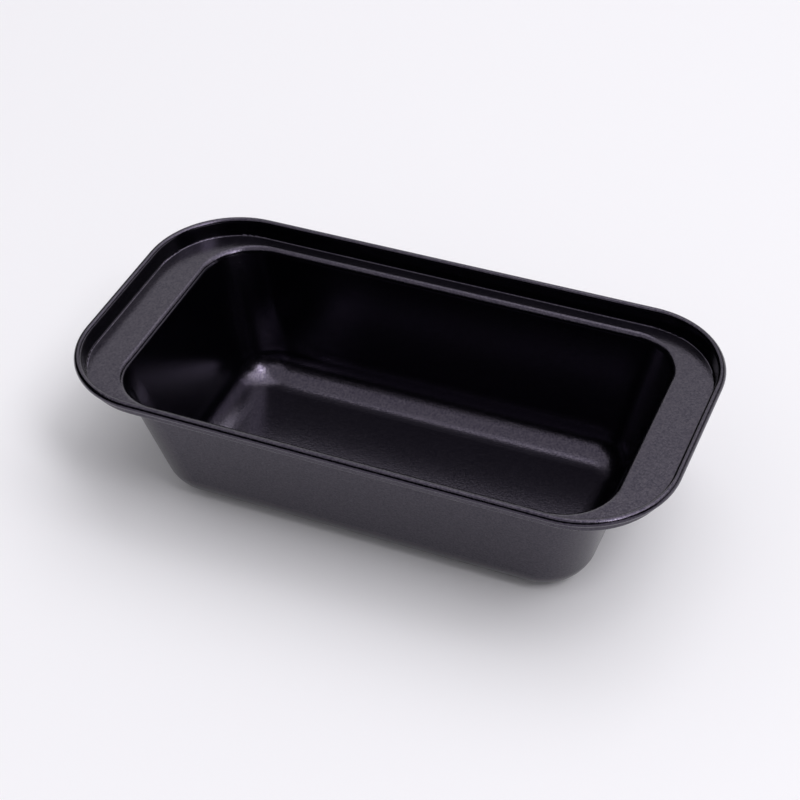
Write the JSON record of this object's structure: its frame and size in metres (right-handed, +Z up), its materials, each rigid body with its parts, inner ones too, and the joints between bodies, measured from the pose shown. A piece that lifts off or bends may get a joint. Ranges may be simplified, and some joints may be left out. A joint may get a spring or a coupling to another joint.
{
  "type": "loaf pan",
  "caption": "Rectangular non-stick steel loaf pan: drafted tub with rounded corners, flat shelf round the opening, upstanding rim rolled over a wire, wide grips at both ends.",
  "frame": {"origin": "on the table under the middle of the pan's floor", "axes": "+X along the pan's length, +Y across it, +Z up out of the opening"},
  "size_m": [0.2642, 0.1376, 0.0693],
  "materials": {
    "nonstick_coating": "dark grey non-stick coating, satin, with a fine speckled grain",
    "bare_wire": "plain drawn steel wire"
  },
  "bodies": {
    "root": {"pan_body": "nonstick_coating", "rim_wire": "bare_wire"}
  },
  "joints": []
}
